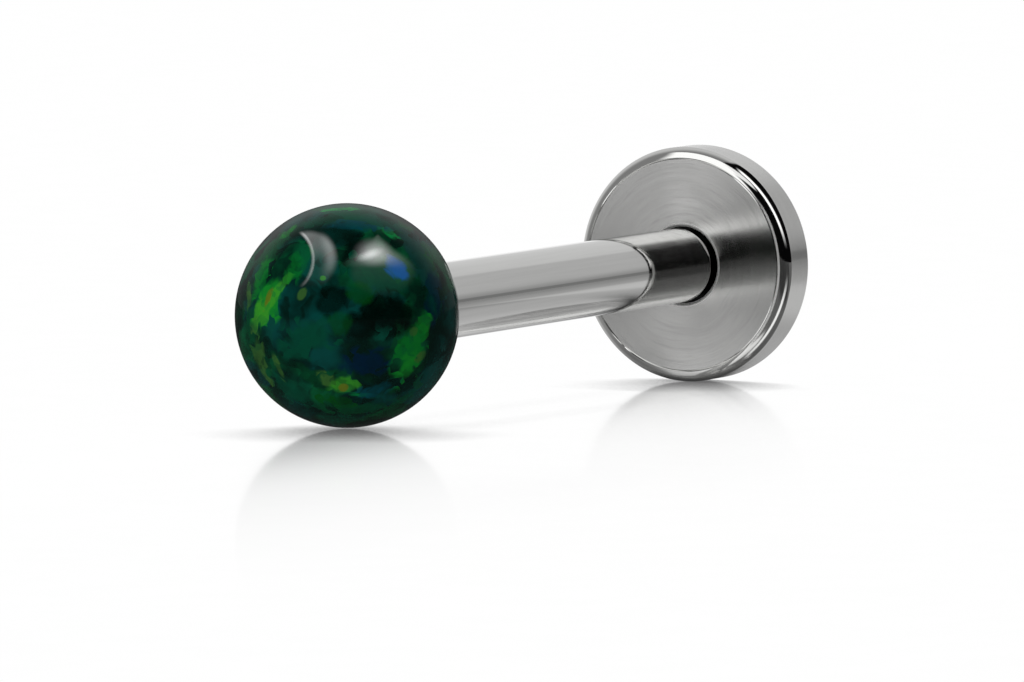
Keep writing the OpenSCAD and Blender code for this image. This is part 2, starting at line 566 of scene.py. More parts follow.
def polished_post_steel():
    """Polished steel with the faintest marks along the post and a painted highlight crescent at its foot"""
    finish = bpy.context.scene.steel_finish
    steel = finish.steel_colour
    post_foot = bpy.context.scene.labret_sizes.shoulder_gap / MM
    material, bench, shader = principled("polished_post_steel")
    place = own_place(bench)
    _, height, direction = round_axis(bench, place)
    along = bench.xyz(0.0, 0.0, bench.times(height, 0.5))
    streaks = bench.noise(bench.vector("ADD", bench.scaled(direction, 9.0), along), 1.0, 3.0, 0.55)
    rings = ring_marks(bench, direction, height, *POST_MARKS)
    clouds = bench.noise(place, 1.3)
    bench.put(shader.inputs["Roughness"], bench.plus(
        finish.post_roughness, bench.fade(streaks, 0.35, 0.75, 0.0, 0.02),
        bench.fade(clouds, 0.35, 0.75, -0.01, 0.015)))
    # The tenon, seen through the open ring at the foot, gets painted shade
    on_tenon = bench.fade(height, post_foot + 0.002, post_foot - 0.004)
    # The painted highlight crescent lies on the upper side of the foot's edge and reaches furthest at its
    # middle
    crescent_share = bench.fade(part_way(bench, direction, CRESCENT_ANGLE), 0.74, 0.97)
    past_crescent = bench.minus(height, bench.plus(post_foot, bench.times(crescent_share, CRESCENT_REACH)))
    highlight_crescent = bench.window((past_crescent, 0.004, -0.012), (crescent_share, 0.02, 0.3))
    bench.put(shader.inputs["Metallic"], bench.blend(highlight_crescent, 1.0, 0.25))
    bench.put(shader.inputs["Base Color"], layered(
        bench.tint,
        bench.tint(bench.fade(streaks, *NOISE_SPAN), shaded(steel, POST_DULL), shaded(steel, BRIGHT)),
        (highlight_crescent, shaded(steel, PAINTED_HIGHLIGHT)), (on_tenon, HOLE_PAINTED_SHADE)))
    raise_marks(bench, shader, bench.plus(bench.times(streaks, 0.5), bench.times(rings, 0.5)), FINE_RELIEF)
    return material


def plain_pin_steel():
    """Fine turned steel for the hidden pin"""
    steel = bpy.context.scene.steel_finish.steel_colour
    material, bench, shader = principled("turned_pin_steel")
    _, height, direction = round_axis(bench, own_place(bench))
    rings = ring_marks(bench, direction, height, *PIN_MARKS)
    shader.inputs["Metallic"].default_value = 1.0
    bench.put(shader.inputs["Roughness"], bench.fade(rings, *NOISE_SPAN, 0.2, 0.32))
    bench.put(shader.inputs["Base Color"], bench.tint(
        bench.fade(rings, *NOISE_SPAN), shaded(steel, PIN_DULL), steel))
    raise_marks(bench, shader, rings, FINE_RELIEF)
    brush_round(bench, shader, 0.5)
    return material


# Opal

# Flash colours, as the stone's own colour
YELLOW_GREEN = (0.055, 0.40, 0.03)
LIME = (0.012, 0.31, 0.03)
LEAF = (0.004, 0.22, 0.03)
BOTTLE = (0.002, 0.09, 0.010)
JADE = (0.003, 0.30, 0.07)
OLIVE = (0.055, 0.17, 0.035)
AMBER = (0.17, 0.19, 0.015)
SEA_BLUE = (0.004, 0.16, 0.55)
DEEP_TEAL = (0.002, 0.075, 0.10)
NAVY = (0.001, 0.018, 0.055)
SHADE = (0.0006, 0.006, 0.004)
SEA_GREEN = (0.002, 0.085, 0.045)
SLATE = (0.009, 0.075, 0.065)
FOREST = (0.003, 0.09, 0.033)

# Quiet patches, bright flashes and smooth spots on the side that the camera sees: colour, then the
# place of the middle right and up in ball radii, the half length and half width, the turn of the
# length from level in degrees, and the strength
PATCHES = (
    (SHADE, 0.36, 0.02, 0.26, 0.19, -25, 0.95),
    (SHADE, 0.06, 0.56, 0.22, 0.12, 70, 0.80),
    (SHADE, -0.30, -0.52, 0.22, 0.12, -20, 0.60),
    (SEA_GREEN, -0.36, -0.22, 0.30, 0.17, 25, 0.90),
    (SEA_GREEN, 0.27, 0.36, 0.26, 0.20, -20, 0.95),
    (SEA_GREEN, -0.15, 0.86, 0.26, 0.10, 0, 0.60),
    (SEA_GREEN, -0.50, -0.68, 0.24, 0.12, -40, 0.70),
    (SLATE, 0.66, 0.50, 0.30, 0.15, -50, 0.90),
    (SLATE, 0.74, -0.55, 0.26, 0.14, 45, 0.80),
    (NAVY, 0.20, -0.42, 0.20, 0.13, 0, 0.85),
    (NAVY, 0.78, 0.12, 0.24, 0.12, 80, 0.60),
    (FOREST, -0.84, -0.10, 0.26, 0.12, 85, 0.80),
    (FOREST, 0.10, -0.84, 0.30, 0.10, 0, 0.80),
    (FOREST, 0.46, -0.78, 0.30, 0.09, 30, 0.70),
    (FOREST, -0.66, 0.58, 0.28, 0.12, 48, 0.70),
)
FLASHES = (
    (LEAF, -0.76, 0.30, 0.20, 0.14, 62, 0.80),
    (LIME, -0.71, 0.11, 0.22, 0.15, 50, 0.95),
    (YELLOW_GREEN, -0.76, 0.05, 0.12, 0.10, 70, 0.90),
    (YELLOW_GREEN, -0.63, 0.18, 0.21, 0.05, 45, 0.80),
    (AMBER, -0.69, 0.15, 0.10, 0.03, 58, 0.70),
    (OLIVE, -0.86, 0.20, 0.13, 0.05, 85, 0.80),
    (LEAF, -0.47, 0.42, 0.15, 0.10, 60, 0.60),
    (JADE, 0.38, 0.72, 0.11, 0.06, -30, 0.95),
    (JADE, -0.03, 0.945, 0.16, 0.05, 0, 1.00),
    (LEAF, -0.52, 0.74, 0.09, 0.05, 35, 0.80),
    (DEEP_TEAL, 0.10, 0.80, 0.26, 0.07, 0, 0.80),
    (LIME, 0.67, -0.12, 0.15, 0.10, 75, 1.00),
    (LEAF, 0.57, -0.34, 0.30, 0.15, 68, 1.00),
    (LIME, 0.54, -0.48, 0.16, 0.11, 60, 0.85),
    (OLIVE, 0.66, -0.36, 0.06, 0.045, 20, 0.80),
    (OLIVE, -0.18, -0.56, 0.09, 0.06, -40, 0.80),
    (YELLOW_GREEN, -0.02, -0.63, 0.13, 0.09, 30, 0.75),
    (JADE, 0.10, -0.70, 0.10, 0.035, -10, 0.80),
    (BOTTLE, -0.08, -0.75, 0.22, 0.09, -15, 0.85),
    (DEEP_TEAL, 0.26, -0.66, 0.25, 0.07, 12, 0.85),
    (OLIVE, -0.77, -0.38, 0.27, 0.10, -68, 0.75),
    (OLIVE, -0.60, -0.45, 0.14, 0.04, -62, 0.80),
)
SPOTS = (
    (SHADE, -0.12, 0.13, 0.16, 0.14, 20, 0.80),
    (SHADE, 0.40, 0.02, 0.28, 0.20, -15, 0.85),
    (SHADE, 0.12, -0.09, 0.20, 0.12, 0, 0.80),
    (SEA_BLUE, 0.45, 0.42, 0.13, 0.10, -55, 0.78),
    (SEA_BLUE, 0.47, 0.40, 0.09, 0.07, -50, 0.90),
    (BOTTLE, 0.14, 0.20, 0.13, 0.11, -20, 0.65),
    (BOTTLE, -0.05, -0.07, 0.10, 0.12, 0, 0.50),
    (AMBER, -0.02, -0.64, 0.05, 0.045, 60, 0.80),
    (OLIVE, -0.38, 0.19, 0.06, 0.04, 50, 0.80),
    (YELLOW_GREEN, -0.20, 0.33, 0.03, 0.025, 0, 0.70),
    (OLIVE, 0.60, -0.14, 0.05, 0.04, 30, 0.60),
)
# On the far side of the ball each row comes again, turned by this many degrees more than the last
FAR_SIDE_TURN = 35
# How much faster a flash ends in the stone's depth than across its face; and where it begins and
# where it is full, counted as one at the edge of its ellipse
FLASH_DEPTH = 3.0
FLASH_EDGE = (1.15, 0.7)
OPAL_IOR = 1.43
# Height of the faint ripple in the polish, in metres
OPAL_RIPPLE = 0.000002


def flash_group():
    """A node group that gives how much one flash covers a spot of the stone"""
    group = bpy.data.node_groups.new("opal_flash", "ShaderNodeTree")
    for kind, labels in (
        ("NodeSocketVector", ("Spot", "Middle", "Length way", "Width way")),
        ("NodeSocketFloat", ("Half length", "Half width", "Ragged")),
    ):
        for label in labels:
            group.interface.new_socket(label, in_out="INPUT", socket_type=kind)
    group.interface.new_socket("Cover", in_out="OUTPUT", socket_type="NodeSocketFloat")
    bench = Bench(group)
    given = bench.node("NodeGroupInput").outputs
    offset = bench.vector("SUBTRACT", given["Spot"], given["Middle"])
    reach = bench.vector("LENGTH", bench.xyz(
        bench.over(bench.dot(offset, given["Length way"]), given["Half length"]),
        bench.over(bench.dot(offset, given["Width way"]), given["Half width"]),
        bench.times(bench.dot(offset, given["Middle"]), FLASH_DEPTH)))
    cover = bench.fade(bench.plus(reach, given["Ragged"]), *FLASH_EDGE)
    bench.put(bench.node("NodeGroupOutput").inputs["Cover"], cover)
    return group


def on_ball(right, up):
    """The direction from the ball's middle to a spot that the camera sees, in ball radii"""
    return (
        TO_RIGHT * right + TO_TOP * up
        + TO_CAMERA * math.sqrt(max(0.0, 1 - right * right - up * up))
    )


def flash_cover(bench, group, spot, edge, number, row, side):
    """How much one row of a table covers a spot; side is 1 towards the camera and -1 away from it"""
    _, right, up, half_length, half_width, turn, _ = row
    middle = on_ball(right, up) * side
    level_way = (TO_RIGHT - middle * TO_RIGHT.dot(middle)).normalized()
    upright_way = middle.cross(level_way) * side
    angle = math.radians(turn + (FAR_SIDE_TURN * number if side < 0 else 0))
    length_way = level_way * math.cos(angle) + upright_way * math.sin(angle)
    return bench.get("ShaderNodeGroup", "Cover", {
        "Spot": spot, "Middle": middle, "Length way": length_way, "Width way": middle.cross(length_way),
        "Half length": half_length, "Half width": half_width, "Ragged": edge,
    }, node_tree=group)


def opal_stone():
    """Dark green opal: quiet patches of green and teal, and bright flashes with ragged edges"""
    look = bpy.context.scene.opal_look
    material, bench, shader = principled("green_opal")
    spot = bench.get("ShaderNodeMapping", "Vector", {
        "Vector": bench.get("ShaderNodeTexCoord", "Object"), "Location": BALL_CENTRE,
        "Scale": (BALL_RADIUS, BALL_RADIUS, BALL_RADIUS),
    }, vector_type="TEXTURE")
    drift = bench.get("ShaderNodeTexNoise", "Color", {"Vector": spot, "Scale": 3.2, "Detail": 2.0})
    wander = bench.scaled(bench.vector("SUBTRACT", drift, (0.5, 0.5, 0.5)), 0.28)
    loose = bench.vector("ADD", spot, wander)
    cloud = bench.noise(spot, 2.1, 3.0, 0.55)

    # Cells, from large soft ones to small hard ones
    def cells(scale, **settings):
        sockets = {"Vector": loose, "Scale": scale}
        return bench.node("ShaderNodeTexVoronoi", sockets, **settings)

    large = cells(3.0, feature="SMOOTH_F1")
    small = cells(7.5, feature="SMOOTH_F1")
    large.inputs["Smoothness"].default_value = 0.25
    small.inputs["Smoothness"].default_value = 0.2
    large_red, large_green, _ = bench.split(large.outputs["Color"])
    small_red, _, _ = bench.split(small.outputs["Color"])
    chip_size, chip_level, _ = bench.split(cells(10.0).outputs["Color"])
    facet_level, _, _ = bench.split(cells(17.0).outputs["Color"])

    quiet = bench.tint(bench.fade(large_green, 0.25, 0.75), look.body_green, look.body_teal)
    level = bench.times(
        bench.plus(bench.times(large_red, 0.55), bench.times(small_red, 0.45)),
        bench.fade(cloud, 0.32, 0.68, 0.25, 1.2))
    stone = bench.tint(bench.fade(level, 0.05, 0.7), look.body_dark, quiet)

    # Patches and flashes break up into hard-edged chips; spots have smoother edges
    rough_edge = bench.times(bench.minus(bench.noise(spot, 8.0), 0.5), 0.8)
    chip_edge = bench.times(bench.minus(chip_size, 0.5), 0.8)
    ragged = bench.plus(rough_edge, chip_edge)
    smooth_edge = bench.plus(bench.times(rough_edge, 0.9), bench.times(chip_edge, 0.25))
    calm = bench.fade(chip_level, 0.0, 1.0, 0.75, 1.0)
    sparkle = bench.times(
        bench.fade(facet_level, 0.0, 1.0, 0.55, 1.12), bench.fade(cloud, *NOISE_SPAN, 0.8, 1.1))
    group = flash_group()
    for rows, strength_map, edge in (
        (PATCHES, calm, ragged), (FLASHES, sparkle, ragged), (SPOTS, 1.0, smooth_edge),
    ):
        for side in (1, -1):
            for number, row in enumerate(rows):
                cover = flash_cover(bench, group, spot, edge, number, row, side)
                stone = bench.tint(bench.times(cover, strength_map, row[-1]), stone, row[0])
    bench.put(shader.inputs["Base Color"], stone)

    smear = bench.noise(spot, 5.0, 3.0, 0.6)
    bench.put(shader.inputs["Roughness"], bench.fade(smear, 0.35, 0.75, look.gloss, look.gloss * 2))
    shader.inputs["IOR"].default_value = OPAL_IOR
    raise_marks(bench, shader, bench.noise(spot, 3.0, 1.0), OPAL_RIPPLE)
    return material


# Pieces


class LABRET_OT_disc(bpy.types.Operator):
    """Turn the disc back: satin face, polished shoulder and the hole that the post stands in"""

    bl_idname = "labret.disc"
    bl_label = "Disc Back"

    def execute(self, context):
        sizes = context.scene.labret_sizes
        values = {
            **lathe_basics(satin_disc_steel()),
            "Disc radius": DISC_RADIUS,
            "Disc thickness": DISC_THICKNESS,
            "Hole radius": sizes.tenon_radius + sizes.tenon_gap,
            "Hole depth": sizes.tenon_depth + sizes.end_room,
            **sized(
                "shoulder_width", "shoulder_start", "shoulder_end", "back_radius", "groove_width",
                "groove_depth", "mouth_radius", "mouth_depth", "lip_chamfer", "support", "arc_steps"),
        }
        tree, bench, given = lathe_tree("disc_lathe", values)
        radius = given["Disc radius"]
        support = given["Support"]
        mouth = given["Mouth radius"]
        hole = given["Hole radius"]
        bottom, groove_floor, lip_floor, mouth_floor, hole_floor = (
            bench.times(given[depth], -1.0)
            for depth in ("Disc thickness", "Groove depth", "Lip chamfer", "Mouth depth", "Hole depth")
        )
        # The shoulder's arc leaves the face at one slope and meets the side wall at a steeper one,
        # with a soft crease at both ends
        low_slope = given["Shoulder start"]
        high_slope = given["Shoulder end"]
        low_sine, high_sine = (bench.math("SINE", angle) for angle in (low_slope, high_slope))
        low_cosine, high_cosine = (bench.math("COSINE", angle) for angle in (low_slope, high_slope))
        arc_radius = bench.over(given["Shoulder width"], bench.minus(high_sine, low_sine))
        arc_drop = bench.times(arc_radius, bench.minus(high_cosine, low_cosine))
        arc_start = bench.minus(radius, given["Shoulder width"])
        half_turn = bench.times(bench.minus(high_slope, low_slope), 0.5)
        arc_reach = bench.times(arc_radius, bench.math("TANGENT", half_turn))
        arc_corner = bench.plus(arc_start, bench.times(arc_reach, low_cosine))
        corner_drop = bench.times(arc_reach, low_sine, -1.0)
        back_reach = bench.plus(given["Back radius"], support)
        outline = corner_outline(bench, (
            (0.0, bottom),
            (bench.minus(radius, back_reach), bottom),
            (radius, bottom, given["Back radius"]),
            (radius, bench.plus(bottom, back_reach)),
            (radius, bench.minus(arc_drop, support)),
            (radius, arc_drop),
            (arc_corner, corner_drop, arc_radius),
            (arc_start, 0.0),
            (bench.minus(arc_start, bench.times(given["Groove width"], 0.5)), groove_floor),
            (bench.minus(arc_start, given["Groove width"]), 0.0),
            (bench.plus(mouth, given["Lip chamfer"]), 0.0),
            (mouth, lip_floor),
            (mouth, mouth_floor),
            (hole, mouth_floor),
            (hole, hole_floor),
            (0.0, hole_floor),
        ), given["Arc steps"])
        carry_round(bench, outline, given)
        disc = turned_piece("turned_disc", tree, values)
        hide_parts("disc_back")
        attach(disc, "stud")
        return {"FINISHED"}


class LABRET_OT_post(bpy.types.Operator):
    """Turn the post: a polished bar on its tenon, bored for the pin"""

    bl_idname = "labret.post"
    bl_label = "Post"

    def execute(self, context):
        sizes = context.scene.labret_sizes
        values = {
            **lathe_basics(polished_post_steel()),
            "Post radius": POST_RADIUS,
            "Post foot": sizes.shoulder_gap,
            "Post end": sizes.wear_length - sizes.seat_gap,
            "Edge radius": sizes.post_edge,
            "Tenon end": -sizes.tenon_depth,
            "Bore radius": sizes.pin_radius + sizes.thread_gap,
            "Bore bottom": sizes.wear_length - sizes.pin_in_post - sizes.end_room,
            **sized("tenon_radius", "support", "arc_steps"),
        }
        tree, bench, given = lathe_tree("post_lathe", values)
        radius = given["Post radius"]
        foot = given["Post foot"]
        end = given["Post end"]
        edge_reach = bench.plus(given["Edge radius"], given["Support"])
        inside_edge = bench.minus(radius, edge_reach)
        outline = corner_outline(bench, (
            (0.0, given["Tenon end"]),
            (given["Tenon radius"], given["Tenon end"]),
            (given["Tenon radius"], foot),
            (inside_edge, foot),
            (radius, foot, given["Edge radius"]),
            (radius, bench.plus(foot, edge_reach)),
            (radius, bench.minus(end, edge_reach)),
            (radius, end, given["Edge radius"]),
            (inside_edge, end),
            (given["Bore radius"], end),
            (given["Bore radius"], given["Bore bottom"]),
            (0.0, given["Bore bottom"]),
        ), given["Arc steps"])
        carry_round(bench, outline, given)
        post = turned_piece("polished_post", tree, values)
        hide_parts("post")
        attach(post, "stud")
        return {"FINISHED"}


class LABRET_OT_pin(bpy.types.Operator):
    """Turn the plain pin that is glued into the ball"""

    bl_idname = "labret.pin"
    bl_label = "Pin"

    def execute(self, context):
        sizes = context.scene.labret_sizes
        values = {
            **lathe_basics(plain_pin_steel()),
            "Pin foot": sizes.wear_length - sizes.pin_in_post,
            "Pin head": sizes.wear_length + sizes.pin_in_ball,
            **sized("pin_radius", "pin_chamfer", "arc_steps"),
        }
        tree, bench, given = lathe_tree("pin_lathe", values)
        radius = given["Pin radius"]
        foot = given["Pin foot"]
        head = given["Pin head"]
        narrow = bench.minus(radius, given["Pin chamfer"])
        outline = corner_outline(bench, (
            (0.0, foot),
            (narrow, foot),
            (radius, bench.plus(foot, given["Pin chamfer"])),
            (radius, bench.minus(head, given["Pin chamfer"])),
            (narrow, head),
            (0.0, head),
        ), given["Arc steps"])
        carry_round(bench, outline, given)
        pin = turned_piece("glued_pin", tree, values)
        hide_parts("threaded_pin")
        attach(pin, "ball")
        return {"FINISHED"}


class LABRET_OT_ball(bpy.types.Operator):
    """Turn the opal ball, with its flat and the blind hole for the pin"""

    bl_idname = "labret.ball"
    bl_label = "Opal Ball"

    def execute(self, context):
        sizes = context.scene.labret_sizes
        values = {
            **lathe_basics(opal_stone()),
            "Ball radius": BALL_RADIUS,
            "Ball height": BALL_HEIGHT,
            "Hole radius": sizes.pin_radius + sizes.glue_gap,
            "Hole bottom": sizes.wear_length + sizes.pin_in_ball + sizes.end_room,
            **sized("flat_radius", "ball_steps"),
        }
        tree, bench, given = lathe_tree("ball_lathe", values)
        radius = given["Ball radius"]
        steps = given["Ball steps"]
        hole_corners = 3
        row = bench.get("GeometryNodeInputIndex", "Index")
        flat_angle = bench.math("ARCSINE", bench.over(given["Flat radius"], radius))

        def height_at(angle):
            return bench.minus(given["Ball height"], bench.times(radius, bench.math("COSINE", angle)))

        # The arc goes from the edge of the flat to the far pole; angles are counted from the flat
        along = bench.over(bench.minus(row, float(hole_corners)), steps)
        angle = bench.plus(flat_angle, bench.times(along, bench.minus(math.pi, flat_angle)))
        off_axis = bench.math("MAXIMUM", bench.times(radius, bench.math("SINE", angle)), 0.0)
        hole = by_number(bench, row, (
            bench.xyz(0.0, given["Hole bottom"]),
            bench.xyz(given["Hole radius"], given["Hole bottom"]),
            bench.xyz(given["Hole radius"], height_at(flat_angle)),
        ), "VECTOR")
        places = bench.get("GeometryNodeSwitch", "Output", {
            "Switch": bench.math("GREATER_THAN", row, hole_corners - 0.5),
            "False": hole, "True": bench.xyz(off_axis, height_at(angle)),
        }, input_type="VECTOR")
        carry_round(bench, open_curve(bench, bench.plus(steps, hole_corners + 1), places), given)
        ball = turned_piece("opal_bead", tree, values)
        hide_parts("opal_ball")
        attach(ball, "ball")
        return {"FINISHED"}


# Stage

FLOOR_RADIUS = 0.3
FLOOR_RIM_POINTS = 96
FLOOR_DROP = 0.002 * MM
MIRROR_DROP = FLOOR_DROP * 3
MIRROR_ROUGHNESS = 0.07
# How far off the floor looks for what throws a shadow on it, for the camera and for the steel
SHADOW_REACH = 2.3 * MM
STEEL_SHADOW_REACH = 1.1 * MM
# What the floor shows the steel: a grey glow, a darker one in front of the stud, and a gloss that
# mirrors the room; and the faint glow that it shows the stone
FLOOR_GLOW = 0.16
FRONT_GLOW = 0.05
FLOOR_GLOSS = 0.68
FLOOR_GLOSS_ROUGHNESS = 0.12
STONE_GLOW = 0.03
# How the floor's mirror image fades off: bells of a width in millimetres, each with its share
MIRROR_BELLS = ((5.5, 0.42), (13.0, 0.16))
# How pale the steel's room is: towards the camera, on the wall behind from the ball's end to the
# disc's, and on the wall to the right at the horizon and above it
DARK_ROOM = 0.003
WALL_BEHIND = (0.31, 0.77)
RIGHT_HORIZON = 0.26
RIGHT_WALL = (0.38, 0.62)
# Light of the two lamps at the ball's end, as the steel sees them, and the way across the dark
# seam between them
BROAD_LAMP = 1.35
STRIP_LAMP = 1.9
ACROSS_SEAM = Vector((0.85, -0.29, 0.45)).normalized()
# Lights that the stone sees, as ovals in a mirror ball before the camera: the middle right and up
# and half the width and height, in ball radii, and the softness of the edge
WING = (-0.33, 0.495, 0.235, 0.24, 0.12)
WING_BITE = (-0.62, 0.49, 0.315, 0.31, 0.05)
WING_LINE = (-0.62, 0.49, 0.335, 0.33, 0.03)
FAN_CORE = (0.23, 0.56, 0.10, 0.075, 0.98)
FAN_STREAK = (0.20, 0.48, 0.075, 0.03, 0.98)
FAINT_ROUND = (0.32, 0.38, 0.27, 0.20, 0.15)
# The oval that the wing's bright inner side lies round
WING_CORE = (-0.33, 0.50, 0.235, 0.25)


def bare_bench(owner):
    """Gives a material or a world an empty node tree, and gives its bench"""
    owner.use_nodes = True
    owner.node_tree.nodes.clear()
    return Bench(owner.node_tree)


def mirror_spot(bench, direction):
    """Where a mirror ball, seen from the camera, shows a direction: right and up, in ball radii"""
    half_way = bench.vector("NORMALIZE", bench.vector("ADD", direction, TO_CAMERA))
    return bench.dot(half_way, TO_RIGHT), bench.dot(half_way, TO_TOP)


def oval_reach(bench, right, up, middle_right, middle_up, half_right, half_up):
    """Distance from the middle of an oval, counted as one at its edge"""
    return bench.vector("LENGTH", bench.xyz(
        bench.over(bench.minus(right, middle_right), half_right),
        bench.over(bench.minus(up, middle_up), half_up)))


def soft_oval(bench, right, up, oval):
    """How far a spot lies inside an oval with a soft edge"""
    *place, edge = oval
    return bench.fade(oval_reach(bench, right, up, *place), 1.0 + edge, 1.0 - edge)


def steel_room(bench, direction):
    """What the steel mirrors: a pale wall behind, a grey one to the right, dark towards the camera"""
    # The direction's shares: across to the disc's end, deep away from the camera, and up
    across, deep, height = bench.split(direction)
    # The grey wall on the right: dark at the horizon and paler above it
    right_wall = bench.blend(
        bench.fade(height, 0.055, 0.075), RIGHT_HORIZON, bench.fade(height, 0.03, 0.245, *RIGHT_WALL))
    # The pale wall behind begins further round towards the ball's end
    further_round = bench.fade(across, -0.5, 0.1, 0.12, 0.0)
    behind = bench.fade(bench.minus(deep, further_round), -0.13, -0.06)
    room = layered(
        bench.blend, DARK_ROOM, (bench.fade(across, 0.72, 0.84), right_wall),
        (behind, bench.fade(across, -0.3, 0.3, *WALL_BEHIND)))
    # Two lamps at the ball's end with a dark seam between them: a broad one that leans over the
    # stud and a strip that stands in front of it
    past_seam = bench.dot(direction, ACROSS_SEAM)
    lean_out = bench.fade(height, 0.5, 0.68, 0.0, 0.4)
    broad_lamp = bench.window(
        (past_seam, -0.01, -0.06), (height, 0.1, 0.26), (bench.plus(deep, lean_out), 0.0, 0.12),
        (deep, 0.6, 0.5))
    strip_lamp = bench.window(
        (past_seam, 0.05, 0.09), (past_seam, 0.42, 0.3), (deep, -0.15, -0.25), (height, 0.15, 0.5))
    room = bench.plus(room, bench.times(broad_lamp, BROAD_LAMP), bench.times(strip_lamp, STRIP_LAMP))
    # The white backdrop straight behind
    level_look = Vector((LOOK.x, LOOK.y, 0.0)).normalized()
    return bench.blend(bench.fade(bench.dot(direction, level_look), 0.975, 0.991), room, 1.0)


def stone_room(bench, direction):
    """What the polished stone mirrors: a dark room with a wing and a fan of light above the camera"""
    right, up = mirror_spot(bench, direction)
    _, _, height = bench.split(direction)
    rim = bench.vector("LENGTH", bench.xyz(right, up))
    room = bench.blend(bench.fade(rim, 0.75, 0.97), 0.002, bench.fade(height, 0.0, 0.5, 0.09, 0.38))

    # The wing on the left: an oval with an oval bite, a soft bright inner side and a thin bright line
    wing = bench.times(
        soft_oval(bench, right, up, WING), bench.minus(1.0, soft_oval(bench, right, up, WING_BITE)),
        bench.fade(up, 0.24, 0.42, 0.3, 1.0))
    line = bench.times(wing, soft_oval(bench, right, up, WING_LINE))
    from_core = oval_reach(bench, right, up, *WING_CORE)
    core = bench.window(
        (from_core, 0.35, 0.8), (from_core, 1.14, 0.82), (right, -0.27, -0.14), (up, 0.33, 0.5, 0.25, 1.0))

    # The fan on the right: narrow at the top, widest and brightest at its foot, a faint round below
    fan_middle = 0.27
    fan_apex = 0.73
    fan_foot = 0.51
    half_width = bench.math("MAXIMUM", bench.times(bench.minus(fan_apex, up), 1.15), 0.001)
    aside = bench.over(bench.math("ABSOLUTE", bench.minus(right, fan_middle)), half_width)
    fan = bench.window(
        (aside, 1.1, 0.1), (up, fan_foot - 0.1, fan_foot + 0.04), (up, fan_apex, fan_apex - 0.03))
    slanted_up = bench.minus(up, bench.times(right, 0.3))
    lights = (
        (wing, bench.fade(up, 0.44, 0.64, 0.25, 2.8)),
        (core, 3.6),
        (line, 6.0),
        (fan, bench.fade(up, fan_apex - 0.05, fan_foot, 1.0, 6.0)),
        (soft_oval(bench, right, up, FAN_CORE), 6.0),
        (soft_oval(bench, right, slanted_up, FAN_STREAK), 8.0),
        (soft_oval(bench, right, up, FAINT_ROUND), bench.fade(up, 0.2, 0.5, 0.1, 0.45)),
    )
    return bench.plus(room, *[bench.times(shape, strength) for shape, strength in lights])


def studio_light():
    """The studio: white to the camera, a pale room to the steel and a dark one to the stone.

    Only the stone is polished enough to count as a perfectly sharp mirror, which tells the two
    rooms apart. What the mirror below the floor's clear top sees behind the stud is plain white.
    """
    world = bpy.data.worlds.new("studio")
    bpy.context.scene.world = world
    bench = bare_bench(world)
    direction = bench.vector("NORMALIZE", bench.get("ShaderNodeTexCoord", "Generated"))
    path = bench.node("ShaderNodeLightPath").outputs
    through_floor = bench.math("GREATER_THAN", path["Transparent Depth"], 0.5)
    steel_sees = bench.blend(through_floor, steel_room(bench, direction), 1.0)
    room = bench.blend(path["Is Singular Ray"], steel_sees, stone_room(bench, direction))
    lit, seen = (
        bench.get("ShaderNodeBackground", "Background", {"Color": WHITE, "Strength": strength})
        for strength in (room, 1.0)
    )
    bench.end("ShaderNodeOutputWorld", bench.mix_shaders(path["Is Camera Ray"], lit, seen))


def bell(bench, value, width):
    """A bell curve: one at nought, falling off on both sides"""
    ratio = bench.over(value, width)
    return bench.math("EXPONENT", bench.times(ratio, ratio, -1.0))


def floor_seen(bench, place):
    """The floor to the camera: shadow under a light from behind, and a mirror image that fades off"""
    _, deep, _ = bench.split(place)
    back_light = Vector((LOOK.x, LOOK.y, 0.5)).normalized()
    contact = bench.get("ShaderNodeAmbientOcclusion", "AO", {
        "Distance": SHADOW_REACH, "Normal": bench.xyz(*back_light),
    }, samples=4)
    grain = bench.noise(place, 0.9)
    shadow = bench.fade(contact, 0.28, 0.76, 0.22, 1.0)
    white = bench.times(shadow, bench.fade(grain, *NOISE_SPAN, 0.995, 1.0))
    # Distance from below the post's axis, along the camera's look
    from_axis = bench.over(deep, math.cos(LOOK_AZIMUTH))
    mirror_share = bench.plus(*[
        bench.times(bell(bench, from_axis, width), share_there) for width, share_there in MIRROR_BELLS
    ])
    image = bench.get("ShaderNodeBsdfTransparent", "BSDF", {"Color": bench.xyz(shadow, shadow, shadow)})
    return bench.mix_shaders(mirror_share, bench.white_glow(white), image)


